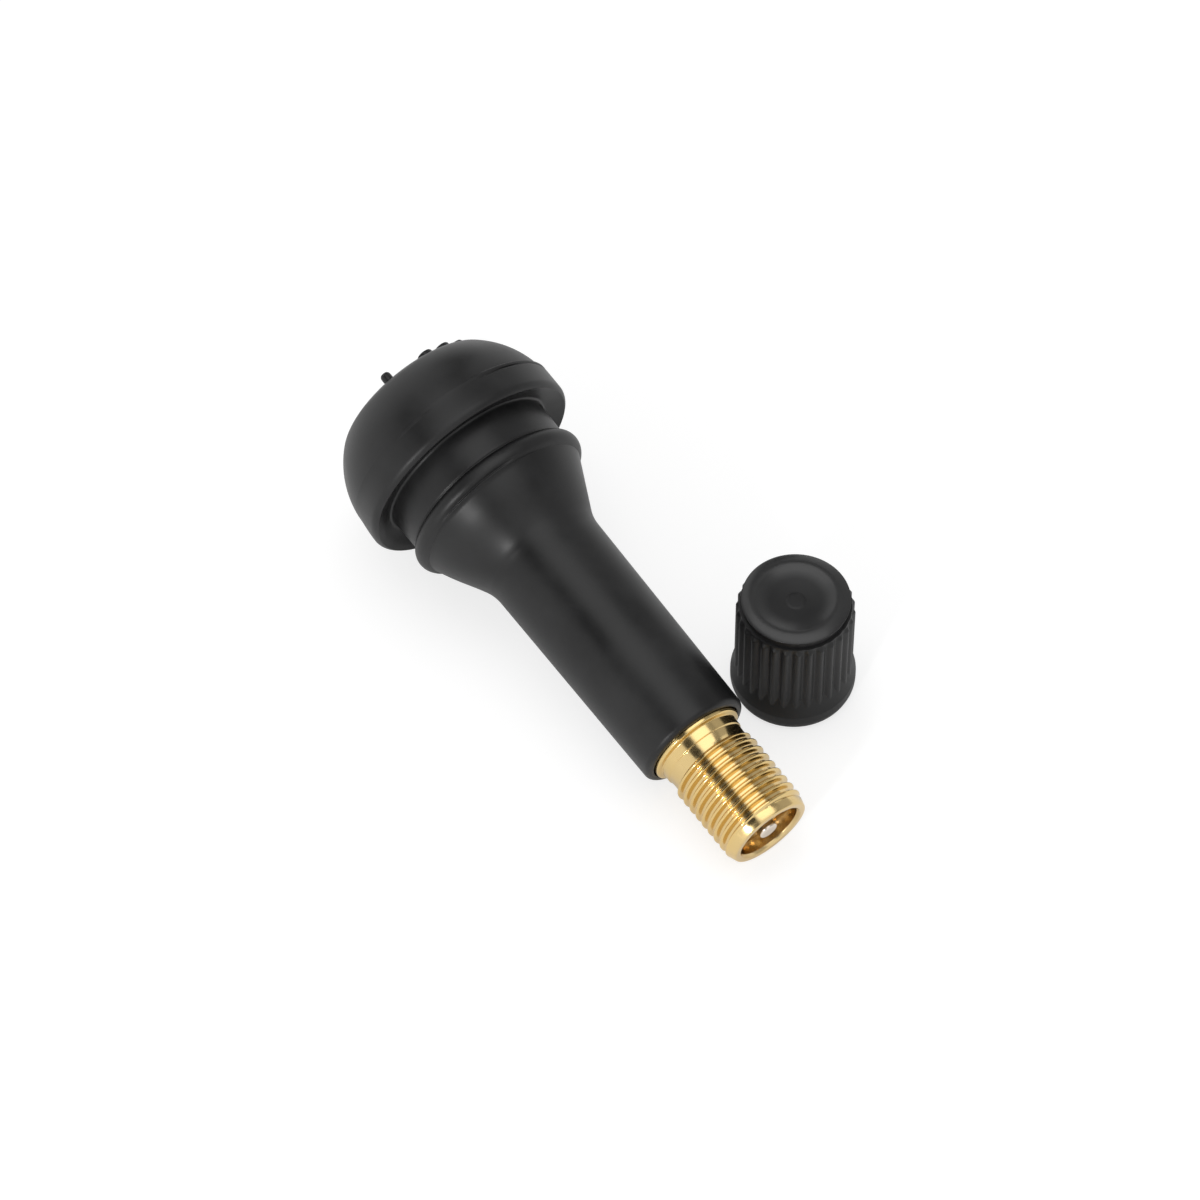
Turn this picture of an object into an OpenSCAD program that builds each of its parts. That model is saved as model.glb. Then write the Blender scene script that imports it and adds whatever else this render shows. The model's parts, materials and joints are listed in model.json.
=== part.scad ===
// Snap-in tyre valve with its dust cap taken off and standing beside it.
// The valve lies as it comes to rest, on the lip of its bulb and the end of its brass thread.
// Lengths along the valve start at the flat of the bulb and run to the brass tip.
// Depths inside the stem start at the mouth of the brass and run inwards.

/* [Rubber body] */
// Overall length of the valve
valve_len = 48.5; // [46:0.5:56]
// Length of the bulb, from its flat to the lip that grips the rim
bulb_len = 8.5; // [8:0.1:9.3]
// Length from the flat to the widest ring of the dome
belly_len = 6.2; // [5.6:0.1:6.6]
// Radius of the band around the bulb
band_r = 9.9; // [9.5:0.05:10.6]
// Length of that band, from its step to the lip
band_len = 3.3; // [2.6:0.1:4]
// How far the band stands out from the dome
band_step = 0.15; // [0.1:0.05:0.5]
// Rounding of the lip, seen in section
lip_round = 1.2; // [0.8:0.1:1.6]
// How far that rounding turns inwards before it ends in a sharp edge
lip_turn = 57; // [45:1:75]
// Radius of the dome's curve, seen in section
dome_round = 8; // [7.5:0.1:8.5]
// Rounding between the dome and the flat of the bulb
base_round = 2.2; // [1.6:0.1:2.8]
// Radius of the rim groove beside the lip
groove_r = 7.4; // [6.6:0.05:7.6]
// Radius of the rim groove beside the shoulder bead
groove_end_r = 7.75; // [7.4:0.05:7.9]
// Width of the rim groove
groove_w = 2.4; // [1.8:0.1:4]
// Hollow between the lip and the rim groove, seen in section
groove_fillet = 0.3; // [0.1:0.05:0.9]
// Largest radius of the shoulder bead
shoulder_r = 8.25; // [8:0.05:8.6]
// Rounding of the shoulder bead, seen in section
shoulder_round = 0.95; // [0.8:0.05:1.1]
// Radius at which the taper leaves the shoulder bead
taper_r = 7.65; // [7.35:0.05:7.8]
// Slope of the taper, measured from the axis
taper_angle = 25.5; // [20:0.5:32]
// Hollow between the taper and the neck, seen in section
neck_fillet = 4; // [2:0.5:5]
// Radius of the neck where the taper runs into it
neck_r = 5.12; // [5:0.02:5.6]
// Radius of the neck at its open end
neck_end_r = 4.88; // [4.86:0.02:5.3]
// Rounding of the neck's open end
end_round = 0.7; // [0.3:0.1:0.8]
// Radius of the air hole through the flat of the bulb
air_r = 2; // [1.6:0.1:2.4]

/* [Moulding pips and marks] */
// Number of raised pips around the flat of the bulb
pip_count = 3; // [2:1:8]
// Turn of the first pip from the underside
pip_turn = 88; // [0:1:359]
// Radius of the ring of pips and marks
pip_ring_r = 5.9; // [5:0.1:6.2]
// Radius of one pip
pip_r = 0.4; // [0.25:0.05:0.6]
// Height of a pip above the flat
pip_h = 0.7; // [0.3:0.05:1]
// Number of low round marks beside the first pip
mark_count = 3; // [1:1:4]
// Turn from the first pip to the first mark
mark_turn = 48; // [20:1:80]
// Turn from one mark to the next
mark_step = 18; // [14:1:24]
// Radius of one mark
mark_r = 0.55; // [0.3:0.05:0.7]
// Height of a mark above the flat
mark_h = 0.3; // [0.1:0.05:0.5]

/* [Brass stem] */
// Length of brass that stands out of the rubber
brass_out = 9.9; // [9:0.1:12]
// Radius over the outer thread
thread_r = 3.85; // [3.7:0.05:4]
// Length of the outer thread, with its bevelled start
thread_len = 7.7; // [6:0.1:8]
// Length of the bevel at the tip
tip_bevel = 0.9; // [0.5:0.1:1.2]
// Radius of the tip's end face
tip_r = 3.5; // [3.3:0.05:3.6]
// Radius of the plain neck behind the thread
relief_r = 3.55; // [3.3:0.05:3.6]
// Length of the run-out between the plain neck and the thread
run_out = 0.3; // [0.1:0.1:0.6]
// Pitch of the outer thread
thread_pitch = 0.794; // [0.7:0.002:0.9]
// Depth of the outer thread
thread_depth = 0.42; // [0.2:0.02:0.5]
// Radius of the collar at the rubber's open end
collar_r = 4.1; // [3.95:0.05:4.2]
// Length of the collar inside the rubber
collar_len = 2; // [1:0.1:4]
// Length of the collar's slope outside the rubber
collar_slope = 0.8; // [0.4:0.1:1.2]
// Radius of the tube inside the rubber
tube_r = 3.2; // [3:0.05:3.4]
// Radius of the foot that anchors the tube in the bulb
foot_r = 4.2; // [3.8:0.1:4.8]
// Length of the foot
foot_len = 1.2; // [0.8:0.1:2]
// Length from the flat of the bulb to the foot
foot_start = 6; // [4:0.1:7]
// Radius of the mouth at the end face
mouth_r = 3; // [2.9:0.05:3.2]
// Length of the bevel inside the mouth
mouth_bevel = 0.25; // [0.1:0.05:0.4]
// Radius of the plain counterbore behind the mouth
counterbore_r = 2.8; // [2.75:0.05:2.85]
// Depth of that counterbore
counterbore_depth = 1.6; // [1:0.1:2.2]
// Radius of the air passage below the seat
passage_r = 1.95; // [1.9:0.05:2.1]
// Layer of bonding between rubber and brass
bond_gap = 0.02; // [0.01:0.01:0.05]

/* [Valve core] */
// Radius over the thread of the plug
plug_r = 2.6; // [2.5:0.05:2.65]
// Play of the plug's thread in the stem
thread_gap = 0.05; // [0.03:0.01:0.1]
// Depth of the plug's top below the mouth
plug_depth = 1.3; // [1:0.1:2]
// Length of the two tangs that a key turns
tang_len = 1.7; // [1.4:0.1:2.2]
// Thickness across the two tangs
tang_w = 3; // [2.8:0.1:3.6]
// Gap between the tangs, which the pin head passes through
tang_gap = 2.2; // [2.1:0.1:2.4]
// Length of the plug's thread
plug_thread_len = 3.5; // [3:0.1:4.5]
// Length of the skirt that is crimped over the barrel
skirt_len = 1.1; // [0.9:0.1:1.6]
// Radius of the skirt
skirt_r = 2.4; // [2.35:0.05:2.45]
// Length of the crimped lip of the skirt
crimp_len = 0.4; // [0.3:0.05:0.5]
// Radius of the pin's way through the plug
plug_hole_r = 1.2; // [1.1:0.05:1.3]
// Play of the swivel between plug and barrel
swivel_gap = 0.08; // [0.05:0.01:0.12]
// Radius of the barrel's flange inside the plug
flange_r = 1.9; // [1.8:0.05:2]
// Length of that flange
flange_len = 1.2; // [0.8:0.1:1.4]
// Radius of the barrel's neck inside the crimp
barrel_neck_r = 1.5; // [1.45:0.05:1.6]
// Radius of the barrel
barrel_r = 1.75; // [1.7:0.05:1.8]
// Length of the barrel below the plug
barrel_len = 5.8; // [5.2:0.1:8]
// Radius of the barrel's bore
barrel_bore_r = 1.15; // [1.1:0.01:1.2]
// Thickness of the barrel's floor
barrel_floor = 0.9; // [0.6:0.1:1.2]
// Radius of the air hole through that floor
floor_hole_r = 0.7; // [0.6:0.02:0.7]
// Length of barrel between the plug and the gasket
gasket_start = 0.4; // [0.3:0.1:1]
// Length of the gasket
gasket_len = 2; // [1.6:0.1:2.4]
// Radius of the gasket at its wide end
gasket_r = 2.3; // [2.2:0.05:2.4]
// Play between the gasket, its barrel and its seat
seat_gap = 0.02; // [0.01:0.01:0.04]

/* [Pin, spring and lower seal] */
// Depth of the pin's tip below the mouth
pin_depth = 0.15; // [0:0.05:0.4]
// Radius of the pin
pin_r = 0.5; // [0.4:0.05:0.55]
// Radius of the pin's head
head_r = 0.85; // [0.7:0.05:1]
// Length of the pin's head
head_len = 0.6; // [0.4:0.1:0.8]
// Radius of the collar that the spring pushes
spring_collar_r = 1; // [0.95:0.01:1.05]
// Length of that collar
spring_collar_len = 0.5; // [0.3:0.1:0.7]
// Radius of the spring's wire
wire_r = 0.13; // [0.1:0.01:0.14]
// Radius of the spring to the middle of its wire
coil_r = 0.85; // [0.82:0.01:0.88]
// Number of the spring's turns
coil_turns = 7; // [5:1:9]
// Thickness of the lower seal
seal_len = 0.6; // [0.4:0.1:0.9]
// Radius of the lower seal
seal_r = 1.35; // [1.2:0.05:1.4]
// Wall of the cup that holds the lower seal
cup_wall = 0.25; // [0.2:0.05:0.3]
// How far the lower seal stands out of its cup
seal_proud = 0.15; // [0.1:0.05:0.3]
// Radius of the pin's riveted foot
rivet_r = 0.9; // [0.75:0.05:1.1]
// Length of the riveted foot
rivet_len = 0.45; // [0.3:0.05:0.7]

/* [Dust cap] */
// Height of the ribs' top end above the floor
rib_top = 10.45; // [9.6:0.05:11]
// Radius of the cap's open end on the floor
cap_foot_r = 4.93; // [4.7:0.01:5]
// Height of the bevel around that end
cap_foot_h = 0.6; // [0.2:0.1:0.8]
// Radius of the plain band above the bevel
cap_base_r = 5.15; // [5:0.05:5.4]
// Height at which that band ends
cap_base_h = 1.5; // [1:0.1:2]
// Height of the slope above the band
cap_slope_h = 2; // [0.8:0.1:2.4]
// Radius of the cap at the foot of its ribs
cap_body_r = 4.55; // [4.5:0.05:4.7]
// Number of grip ribs
rib_count = 30; // [20:1:32]
// Radius of one half-round rib
rib_r = 0.3; // [0.2:0.02:0.34]
// Width of the groove between the ribs and the rim
rim_groove_w = 0.5; // [0.3:0.05:0.7]
// Radius at the bottom of that groove
rim_groove_r = 4.1; // [4:0.05:4.2]
// Height of the slope under the rim
rim_slope_h = 0.2; // [0.1:0.05:0.3]
// Height of the rim's upright edge
rim_edge_h = 0.05; // [0.05:0.05:0.4]
// Radius of the rim around the cap's top
rim_r = 4.45; // [4.3:0.05:4.6]
// Radius of the rim's highest ring
rim_crest_r = 3.5; // [3.2:0.05:3.8]
// Rounding over that ring, seen in section
rim_crown = 2; // [1.6:0.1:3]
// Radius at which the rounding runs into the dish
dish_r = 2.8; // [2.4:0.05:3]
// Radius of the moulding mark in the dish
gate_r = 0.6; // [0.3:0.1:1]
// Height of that mark
gate_h = 0.15; // [0.1:0.05:0.3]
// Play of the cap's thread on the stem
cap_gap = 0.1; // [0.05:0.05:0.15]
// Depth of the cap's bore
cap_bore_len = 9; // [8:0.1:9.6]
// Depth of the plain lead-in at the cap's open end
lead_in = 0.8; // [0.4:0.1:1.2]
// How far the lead-in stands back from the bore
lead_in_step = 0.25; // [0.1:0.05:0.4]
// Distance of the cap's axis from the brass tip, along the floor
cap_back = 12.7; // [8:0.1:30]
// Distance of the cap's axis from the valve's axis, sideways
cap_side = 12.4; // [11:0.1:30]

/* [Hidden] */
$fn = 96;

// A cut runs this far past the face that it opens
over = 1;
// Sides of the spring's wire, and points around one of its turns
wire_sides = 8;
turn_steps = 24;

// Bulb: the dome's curve meets the base rounding where both have the same tangent
dome_r = band_r - band_step;
dome_mid = [dome_r - dome_round, belly_len];
base_rise = belly_len - base_round;
base_mid = [dome_mid.x + sqrt((dome_round - base_round) ^ 2 - base_rise ^ 2), base_round];
base_join = dome_mid + (base_mid - dome_mid) * dome_round / (dome_round - base_round);
lip_mid = [band_r - lip_round, bulb_len - lip_round * sin(lip_turn)];

// Rim groove: a small hollow touches the lip's underside and the sloping land
groove_slope = atan2(groove_end_r - groove_r, groove_w);
hollow_spread = tan(groove_slope) + 1 / cos(groove_slope);
hollow_r = min(groove_fillet, (lip_mid.x - groove_r) / hollow_spread);
hollow_mid = [groove_r + hollow_r * hollow_spread, bulb_len + hollow_r];
hollow_end = hollow_mid + hollow_r * [-cos(groove_slope), sin(groove_slope)];

// Shoulder, taper and neck
shoulder_mid = [shoulder_r - shoulder_round, bulb_len + groove_w + shoulder_round];
taper_start = [taper_r, shoulder_mid.y + sqrt(shoulder_round ^ 2 - (taper_r - shoulder_mid.x) ^ 2)];
fillet_lift = neck_fillet / cos(taper_angle) - neck_fillet;
neck_start = taper_start.y + (taper_r - neck_r + fillet_lift) / tan(taper_angle);
fillet_mid = [neck_r + neck_fillet, neck_start];
taper_end = fillet_mid - neck_fillet * [cos(taper_angle), sin(taper_angle)];
rubber_end = valve_len - brass_out;
end_mid = [neck_end_r - end_round, rubber_end - end_round];

// Brass stem: the thread is a 60 degree form with narrow flats on its crests
thread_start = valve_len - thread_len;
thread_end = valve_len - tip_bevel;
thread_flank = thread_depth * tan(30);
thread_crest = thread_pitch / 8;
thread_turns = floor((thread_end - thread_start - run_out - thread_crest) / thread_pitch);

// Core: depths below the mouth, from the plug's top down to the pin's foot
bridge_depth = plug_depth + tang_len;
skirt_depth = bridge_depth + plug_thread_len;
plug_end = skirt_depth + skirt_len;
flange_end = plug_end - crimp_len - swivel_gap;
flange_depth = flange_end - flange_len;
body_depth = plug_end + swivel_gap;
barrel_end = body_depth + barrel_len;
floor_depth = barrel_end - barrel_floor;
seat_depth = body_depth + gasket_start;
gasket_end_r = passage_r - seat_gap;
seal_depth = barrel_end + seat_gap;
cup_r = seal_r + seat_gap + cup_wall;
cup_depth = seal_depth + seal_proud;
cup_floor_depth = seal_depth + seal_len + seat_gap;
rivet_depth = cup_floor_depth + cup_wall + seat_gap;
spring_depth = flange_depth + spring_collar_len + seat_gap;
spring_len = floor_depth - spring_depth - 2 * seat_gap;

// Rest: the valve tilts until the floor meets the lip's rounding and the last turn of the thread
reach = [thread_end - lip_mid.y, lip_mid.x - thread_r];
tilt = atan2(reach.y, reach.x) + asin(lip_round / norm(reach));
axis_lift = thread_end * sin(tilt) + thread_r * cos(tilt);
pip_edge = pip_ring_r * max([for (i = [0 : pip_count - 1]) cos(pip_turn + i * 360 / pip_count)]) + pip_r;
tip_x = valve_len * cos(tilt) + tip_r * sin(tilt);
low_x = min(-pip_h * cos(tilt) - pip_edge * sin(tilt),
    base_round * (cos(tilt) - 1) - base_mid.x * sin(tilt));
cap_x = valve_len * cos(tilt) - cap_back;
mid_x = (low_x + tip_x) / 2;
mid_y = (cap_side + cap_base_r - band_r) / 2;

// Cap: the rim sits on its groove, and the dish is part of a ball that touches the rim's rounding
rim_foot = rib_top + rim_groove_w;
rim_edge = rim_foot + rim_slope_h + rim_edge_h;
crown_mid = [rim_crest_r, rim_edge - sqrt(rim_crown ^ 2 - (rim_r - rim_crest_r) ^ 2)];
cap_h = crown_mid.y + rim_crown;
dish_slope = asin((rim_crest_r - dish_r) / rim_crown);
dish_join = crown_mid + rim_crown * [-sin(dish_slope), cos(dish_slope)];
dish_ball_r = dish_r / sin(dish_slope);
dish_ball_mid = dish_join.y + dish_ball_r * cos(dish_slope);
dish_floor = dish_ball_mid - dish_ball_r;

// Lays a piece that is drawn upright on the valve's axis, and centres the part on its origin
module lay() {
    translate([-mid_x, -mid_y, axis_lift]) rotate([0, 90 + tilt, 0]) children();
}

// Lays a piece that is drawn by its depths below the mouth
module lay_core() {
    lay() translate([0, 0, valve_len]) mirror([0, 0, 1]) children();
}

// A round bar between two depths
module bar(r, from, to) {
    translate([0, 0, from]) cylinder(r = r, h = to - from);
}

// A bar that changes its radius evenly
module taper_bar(r_from, r_to, from, to) {
    translate([0, 0, from]) cylinder(r1 = r_from, r2 = r_to, h = to - from);
}

// A rectangle from the axis out to a radius, between two lengths
module block(r, from, to) {
    translate([0, from]) square([r, to - from]);
}

// Half section of the bulb
module bulb_section() {
    polygon([[0, 0], [base_mid.x, 0], base_mid, base_join, [0, base_join.y]]);
    translate(base_mid) circle(base_round);
    intersection() {
        translate(dome_mid) circle(dome_round);
        block(band_r, base_join.y, belly_len);
    }
    block(band_r, bulb_len - band_len, lip_mid.y);
    block(lip_mid.x, lip_mid.y, bulb_len);
    intersection() {
        translate(lip_mid) circle(lip_round);
        block(band_r, lip_mid.y - lip_round, bulb_len);
    }
}

// Half section of the rubber that fills the corner between the lip and the rim groove
module hollow_section() {
    difference() {
        polygon([[groove_r, lip_mid.y], [hollow_mid.x, lip_mid.y], hollow_mid, hollow_end,
            [groove_r, hollow_end.y]]);
        translate(hollow_mid) circle(hollow_r);
    }
}

// Half section of the shoulder, the taper and the hollow that runs into the neck
module shoulder_section() {
    polygon([[0, lip_mid.y], [groove_r, lip_mid.y], [groove_r, bulb_len],
        [groove_end_r, bulb_len + groove_w], [groove_end_r, shoulder_mid.y], [0, shoulder_mid.y]]);
    translate(shoulder_mid) circle(shoulder_round);
    difference() {
        polygon([[0, shoulder_mid.y], [shoulder_mid.x, shoulder_mid.y], taper_start, taper_end,
            [neck_r, neck_start], [0, neck_start]]);
        translate(fillet_mid) circle(neck_fillet);
    }
}

// Half section of the neck with its rounded open end
module neck_section() {
    polygon([[0, neck_start], [neck_r, neck_start], [neck_end_r, end_mid.y], [0, end_mid.y]]);
    block(end_mid.x, end_mid.y, rubber_end);
    translate(end_mid) circle(end_round);
}

// Half section of the brass where it lies in the rubber, with room for the bonding layer
module brass_pocket() {
    block(air_r, -over, rubber_end + over);
    block(foot_r + bond_gap, foot_start - bond_gap, foot_start + foot_len + bond_gap);
    block(tube_r + bond_gap, foot_start, rubber_end);
    block(collar_r + bond_gap, rubber_end - collar_len - bond_gap, rubber_end + over);
}

// A round peg on the flat of the bulb
module peg(turn, r, h) {
    rotate(turn) translate([pip_ring_r, 0, 0]) bar(r, -h, base_round);
}

module pips_and_marks() {
    for (i = [0 : pip_count - 1]) peg(pip_turn + i * 360 / pip_count, pip_r, pip_h);
    for (i = [0 : mark_count - 1]) peg(pip_turn + mark_turn + i * mark_step, mark_r, mark_h);
}

module rubber_body() {
    color("#343434") lay() {
        rotate_extrude() difference() {
            union() {
                bulb_section();
                hollow_section();
                shoulder_section();
                neck_section();
            }
            brass_pocket();
        }
        pips_and_marks();
    }
}

// Half section of the outer thread's grooves, drawn as rings at the thread's pitch
module thread_grooves() {
    for (i = [0 : thread_turns - 1])
        translate([thread_r, thread_end - thread_crest - i * thread_pitch])
            polygon([[over, 0], [0, 0], [-thread_depth, -thread_flank],
                [-thread_depth, thread_crest - thread_pitch + thread_flank],
                [0, thread_crest - thread_pitch], [over, thread_crest - thread_pitch]]);
}

// Half section of the brass from outside, with no bore
module stem_section() {
    block(foot_r, foot_start, foot_start + foot_len);
    block(tube_r, foot_start, rubber_end);
    block(collar_r, rubber_end - collar_len, rubber_end);
    difference() {
        polygon([[0, rubber_end], [collar_r, rubber_end], [relief_r, rubber_end + collar_slope],
            [relief_r, thread_start], [thread_r, thread_start + run_out], [thread_r, thread_end],
            [tip_r, valve_len], [0, valve_len]]);
        thread_grooves();
    }
}

// The way through the stem: mouth, counterbore, core thread, taper seat and air passage
module stem_bore() {
    taper_bar(mouth_r, counterbore_r, 0, mouth_bevel);
    bar(mouth_r, -over, 0);
    bar(counterbore_r, 0, counterbore_depth);
    bar(plug_r + thread_gap, 0, seat_depth);
    taper_bar(gasket_r + seat_gap, passage_r, seat_depth, seat_depth + gasket_len);
    bar(passage_r, seat_depth, valve_len);
}

module brass_stem() {
    color("#dbb770") difference() {
        lay() rotate_extrude() stem_section();
        lay_core() stem_bore();
    }
}

module core_plug() {
    color("#d8b060") lay_core() difference() {
        union() {
            intersection() {
                bar(plug_r, plug_depth, bridge_depth);
                translate([-plug_r, -tang_w / 2, plug_depth]) cube([2 * plug_r, tang_w, tang_len]);
            }
            bar(plug_r, bridge_depth, skirt_depth);
            bar(skirt_r, skirt_depth, plug_end);
        }
        translate([-tang_gap / 2, -plug_r, plug_depth - over])
            cube([tang_gap, 2 * plug_r, tang_len + over]);
        bar(plug_hole_r, plug_depth, plug_end);
        bar(flange_r + swivel_gap, flange_depth - swivel_gap, flange_end + swivel_gap);
        bar(barrel_neck_r + swivel_gap, flange_end, plug_end + over);
    }
}

module core_barrel() {
    color("#c9a255") lay_core() difference() {
        union() {
            bar(flange_r, flange_depth, flange_end);
            bar(barrel_neck_r, flange_end, body_depth);
            bar(barrel_r, body_depth, barrel_end);
        }
        bar(barrel_bore_r, flange_depth - over, floor_depth);
        bar(floor_hole_r, floor_depth - over, barrel_end + over);
    }
}

module core_gasket() {
    color("#b5332e") lay_core() difference() {
        taper_bar(gasket_r, gasket_end_r, seat_depth, seat_depth + gasket_len);
        bar(barrel_r + seat_gap, seat_depth - over, seat_depth + gasket_len + over);
    }
}

module core_pin() {
    color("#cfd2d4") lay_core() {
        bar(head_r, pin_depth, pin_depth + head_len);
        bar(pin_r, pin_depth, rivet_depth + rivet_len);
        bar(spring_collar_r, flange_depth, flange_depth + spring_collar_len);
        bar(rivet_r, rivet_depth, rivet_depth + rivet_len);
    }
}

module pin_cup() {
    color("#c9a255") lay_core() difference() {
        bar(cup_r, cup_depth, cup_floor_depth + cup_wall);
        bar(cup_r - cup_wall, cup_depth - over, cup_floor_depth);
        bar(pin_r + seat_gap, cup_depth, rivet_depth + over);
    }
}

module cup_seal() {
    color("#2a2a2a") lay_core() difference() {
        bar(seal_r, seal_depth, seal_depth + seal_len);
        bar(pin_r + seat_gap, seal_depth - over, seal_depth + seal_len + over);
    }
}

// Points of one ring of the spring's wire, at a share of the way along its helix
function wire_ring(share) = [
    for (k = [0 : wire_sides - 1])
        let (turn = share * coil_turns * 360,
            side = k * 360 / wire_sides,
            r = coil_r + wire_r * cos(side),
            rise = wire_r + share * (spring_len - 2 * wire_r) + wire_r * sin(side))
        [r * cos(turn), r * sin(turn), rise]
];

module core_spring() {
    rings = coil_turns * turn_steps;
    points = [for (i = [0 : rings]) each wire_ring(i / rings)];
    first = [for (k = [0 : wire_sides - 1]) k];
    last = [for (k = [wire_sides - 1 : -1 : 0]) rings * wire_sides + k];
    sides = [
        for (i = [0 : rings - 1], k = [0 : wire_sides - 1])
            let (a = i * wire_sides, b = a + wire_sides, n = (k + 1) % wire_sides)
            each [[a + k, b + k, b + n], [a + k, b + n, a + n]]
    ];
    color("#aeb2b5") lay_core() translate([0, 0, spring_depth + seat_gap])
        polyhedron(points, concat([first, last], sides));
}

// Half section of the cap, with no bore
module cap_section() {
    polygon([[0, 0], [cap_foot_r, 0], [cap_base_r, cap_foot_h], [cap_base_r, cap_base_h],
        [cap_body_r, cap_base_h + cap_slope_h], [cap_body_r, rib_top], [0, rib_top]]);
    difference() {
        union() {
            block(rim_groove_r, rib_top, rim_foot);
            polygon([[0, rim_foot], [rim_groove_r, rim_foot], [rim_r, rim_foot + rim_slope_h],
                [rim_r, rim_edge], [0, rim_edge]]);
            polygon([[0, crown_mid.y], crown_mid, dish_join, [0, dish_join.y]]);
            intersection() {
                translate(crown_mid) circle(rim_crown);
                block(rim_r, rim_foot + rim_slope_h, cap_h);
            }
        }
        translate([0, dish_ball_mid]) circle(dish_ball_r);
    }
    block(gate_r, dish_floor - gate_h, dish_floor + gate_h);
}

module valve_cap() {
    bore_r = thread_r + cap_gap;
    color("#313131") translate([cap_x - mid_x, cap_side - mid_y, 0]) difference() {
        union() {
            rotate_extrude() cap_section();
            for (i = [0 : rib_count - 1])
                rotate(i * 360 / rib_count) translate([cap_body_r, 0, 0])
                    bar(rib_r, cap_base_h / 2, rib_top);
        }
        bar(bore_r, -over, cap_bore_len);
        bar(bore_r + lead_in_step, -over, lead_in);
    }
}

rubber_body();
brass_stem();
core_plug();
core_barrel();
core_gasket();
core_pin();
pin_cup();
cup_seal();
core_spring();
valve_cap();
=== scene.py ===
# %% [markdown]
# # A snap-in tyre valve and its dust cap
# The valve lies on a white table, on the lip of its rubber bulb and the end of its brass thread. Its
# ribbed cap has been screwed off and stands beside it. Every piece of the real object was moulded or
# turned, so nearly all of them are made the same way here: an outline in half section, carried around
# an axis, with small changes that depend on the angle, such as threads and ribs.

# %% Load the fixed frame
import json
import math

import bpy
import numpy as np
from mathutils import Matrix


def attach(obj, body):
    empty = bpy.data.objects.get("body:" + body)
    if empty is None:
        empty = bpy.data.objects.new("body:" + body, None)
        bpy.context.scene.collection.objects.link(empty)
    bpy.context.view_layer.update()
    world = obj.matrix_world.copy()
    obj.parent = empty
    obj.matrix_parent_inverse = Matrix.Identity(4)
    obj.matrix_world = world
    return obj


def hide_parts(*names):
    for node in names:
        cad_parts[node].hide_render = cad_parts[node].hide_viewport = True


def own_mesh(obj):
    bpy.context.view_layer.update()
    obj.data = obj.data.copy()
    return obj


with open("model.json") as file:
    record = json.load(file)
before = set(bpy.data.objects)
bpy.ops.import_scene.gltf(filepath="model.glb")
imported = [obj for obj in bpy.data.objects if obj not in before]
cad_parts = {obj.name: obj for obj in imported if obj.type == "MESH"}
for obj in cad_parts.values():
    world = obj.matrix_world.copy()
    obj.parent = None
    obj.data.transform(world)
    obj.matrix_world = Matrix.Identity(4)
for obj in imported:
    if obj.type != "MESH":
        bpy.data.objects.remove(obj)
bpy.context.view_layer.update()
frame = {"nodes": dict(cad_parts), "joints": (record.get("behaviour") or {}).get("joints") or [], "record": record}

print("nodes:", sorted(frame["nodes"]))

# %% [markdown]
# ## Where the pieces are
# The frame says where everything is. The valve's axis is the line that the core rises along, and the
# plug turns about a point on it, so those two joints place the whole valve. The cap stands upright over
# the middle of its thread. Sizes below are in millimetres, lengths along the valve start at the flat of
# the bulb, and two small functions turn them into points of the frame, in metres.

# %% Axes of the valve and of the cap
MM = 0.001
TURN = 2 * math.pi
VALVE_LEN = 48.5
PLUG_DEPTH = 1.3

joints = {joint["name"]: joint for joint in frame["joints"]}
mounts = {mount["name"]: mount for mount in frame["record"]["mounts"]}
axis = np.array(joints["core_lift"]["axis"])
side = np.array([0.0, 1.0, 0.0])
up = np.cross(axis, side)
flat_middle = np.array(joints["plug_turn"]["pos_m"]) - axis * (VALVE_LEN - PLUG_DEPTH) * MM
cap_foot = np.array(mounts["cap_thread"]["pos_m"]) * [1, 1, 0]
tilt = math.atan2(-axis[2], axis[0])
print("the valve leans by", round(math.degrees(tilt), 2), "degrees")


def on_valve(radius, along, turn):
    """Point at a radius and a length along the valve, turned about its axis from the side upwards."""
    radius, along, turn = (part[..., None] for part in np.broadcast_arrays(radius, along, turn))
    return flat_middle + MM * (along * axis + radius * (np.cos(turn) * side + np.sin(turn) * up))


def on_cap(radius, height, turn):
    """Point at a radius and a height above the floor, turned about the cap's upright axis from +X."""
    radius, height, turn = np.broadcast_arrays(radius, height, turn)
    return cap_foot + MM * np.stack([radius * np.cos(turn), radius * np.sin(turn), height], axis=-1)


# %% [markdown]
# ## Outlines
# A half section is a list of points, each with a radius and a length along the axis. On a drawing of
# such a part the outline is made of straight runs, true arcs and corners with a small radius, so there
# is one function for each. A modelling program would use a sketch here; a few lines of numpy do the
# same and keep every size readable.

# %% Runs, arcs and softened corners
def run(start, end, count=2):
    """Points in a straight line from start up to, and without, the end."""
    return np.linspace(start, end, count, endpoint=False)


def arc(middle, radius, first, last, count=16):
    """Points on a circle between two angles, without the last; 0 degrees points away from the axis."""
    angle = np.radians(np.linspace(first, last, count, endpoint=False))
    return np.array(middle) + radius * np.stack([np.cos(angle), np.sin(angle)], axis=1)


def softened(corners, steps=5):
    """Corners (radius, along, softness), each cut back by its softness and bridged by a parabola."""
    corners = np.array(corners, float)
    point, softness = corners[:, :2], corners[:, 2:]
    back = np.roll(point, 1, axis=0) - point
    ahead = np.roll(point, -1, axis=0) - point
    back[0] = ahead[-1] = 0
    start, end = (point + cut_back(way, softness) for way in (back, ahead))
    share = np.linspace(0, 1, steps)[None, :, None]
    bridge = (1 - share) ** 2 * start[:, None] + share ** 2 * end[:, None]
    bridge = bridge + 2 * share * (1 - share) * point[:, None]
    return without_doubles(bridge.reshape(-1, 2))


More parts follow.
